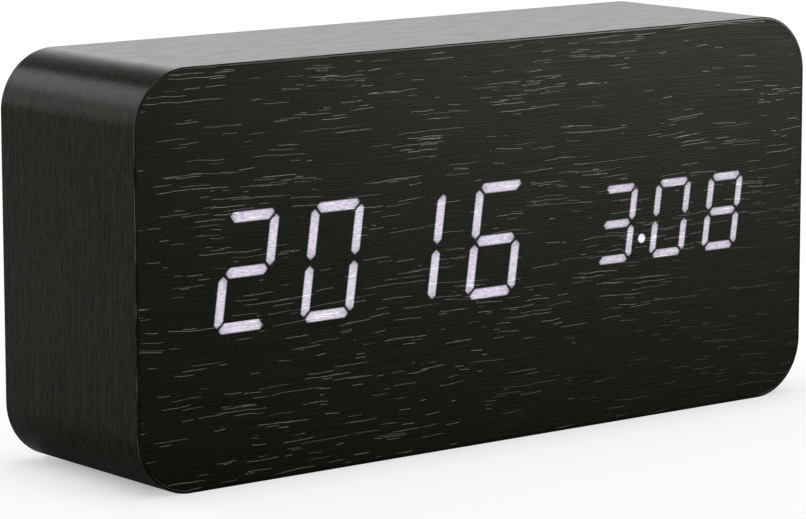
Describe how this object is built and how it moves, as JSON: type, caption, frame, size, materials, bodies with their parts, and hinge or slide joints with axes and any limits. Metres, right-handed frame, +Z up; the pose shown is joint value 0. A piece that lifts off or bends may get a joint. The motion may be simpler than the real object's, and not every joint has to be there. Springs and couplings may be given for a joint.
{
  "type": "wooden digital alarm clock",
  "caption": "Black veneered wooden block clock with rounded corners, a seven-segment display that shines through the front, and a rear panel with buttons and battery door.",
  "frame": {"origin": "middle of the underside, on the surface that the clock stands on", "axes": "+X to the right as seen from the front, +Y from the front to the rear, +Z up"},
  "size_m": [0.15, 0.04, 0.071],
  "materials": {
    "black_veneer": "black-stained satin wood veneer with open pores",
    "fibreboard": "raw medium density fibreboard",
    "dowel_wood": "plain beech",
    "black_plastic": "fine spark-eroded texture",
    "button_plastic": "smooth matt",
    "switch_plastic": "moulded",
    "digit_housing": "dark moulded housing",
    "lit_resin": "clouded resin, lit from behind",
    "dark_resin": "clouded resin, unlit",
    "diffuser": "smoked film",
    "led_chip": "yellow phosphor on a white carrier",
    "circuit_board": "green solder mask over glass fibre",
    "nylon": "natural nylon",
    "chip_plastic": "moulded package",
    "bright_steel": "nickel plated",
    "bare_aluminium": "drawn can",
    "gilt_contact": "gilt strip",
    "sensor_epoxy": "dipped bead",
    "cell_wrap": "plain printed sleeve with bare metal ends",
    "ribbon_grey": "flat flexible cable",
    "lead_black": "insulated wire",
    "lead_red": "insulated wire"
  },
  "bodies": {
    "clock_case": {"front_veneer": "black_veneer", "rear_veneer": "black_veneer", "wrap_veneer": "black_veneer", "base_veneer": "black_veneer", "left_side_block": "fibreboard", "right_side_block": "fibreboard", "top_board": "fibreboard", "bottom_board": "fibreboard", "front_board": "fibreboard", "rear_board": "fibreboard", "corner_dowels": "dowel_wood", "rear_panel": "black_plastic", "battery_tray": "black_plastic", "backup_cell_holder": "black_plastic", "button_switches": "switch_plastic", "buzzer": "switch_plastic", "large_digit_block": "digit_housing", "small_digit_block": "digit_housing", "lit_large_segments": "lit_resin", "lit_small_segments": "lit_resin", "dark_large_segments": "dark_resin", "dark_small_segments": "dark_resin", "diffuser_film": "diffuser", "segment_leds": "led_chip", "display_board": "circuit_board", "control_board": "circuit_board", "board_spacers": "nylon", "front_ribbon_socket": "nylon", "rear_ribbon_socket": "nylon", "controller_chip": "chip_plastic", "led_driver_chip": "chip_plastic", "chip_resistors": "chip_plastic", "power_socket_tongue": "chip_plastic", "display_screws": "bright_steel", "panel_screws": "bright_steel", "control_screws": "bright_steel", "backup_cell": "bright_steel", "backup_cell_clip": "bright_steel", "power_socket_shell": "bright_steel", "contact_plates": "bright_steel", "contact_springs": "bright_steel", "clock_crystal": "bare_aluminium", "smoothing_capacitor": "bare_aluminium", "microphone": "bare_aluminium", "power_socket_contacts": "gilt_contact", "temperature_sensor": "sensor_epoxy", "battery_cell_1": "cell_wrap", "battery_cell_2": "cell_wrap", "battery_cell_3": "cell_wrap", "battery_cell_4": "cell_wrap", "ribbon_cable": "ribbon_grey", "negative_lead": "lead_black", "positive_lead": "lead_red"},
    "set_button": {"set_button": "button_plastic", "set_plunger": "switch_plastic"},
    "up_button": {"up_button": "button_plastic", "up_plunger": "switch_plastic"},
    "down_button": {"down_button": "button_plastic", "down_plunger": "switch_plastic"},
    "battery_door": {"battery_door": "black_plastic"}
  },
  "joints": [
    {"name": "set_button_press", "type": "slide", "parent": "clock_case", "child": "set_button", "axis": [0, -1, 0], "range_m": [0, 0.0005], "stiffness_N_per_m": 1500},
    {"name": "up_button_press", "type": "slide", "parent": "clock_case", "child": "up_button", "axis": [0, -1, 0], "range_m": [0, 0.0005], "stiffness_N_per_m": 1500},
    {"name": "down_button_press", "type": "slide", "parent": "clock_case", "child": "down_button", "axis": [0, -1, 0], "range_m": [0, 0.0005], "stiffness_N_per_m": 1500},
    {"name": "battery_door_hinge", "type": "hinge", "parent": "clock_case", "child": "battery_door", "pos_m": [0.0477, 0.01765, 0.0355], "axis": [0, 0, -1], "range_deg": [0, 90]}
  ]
}
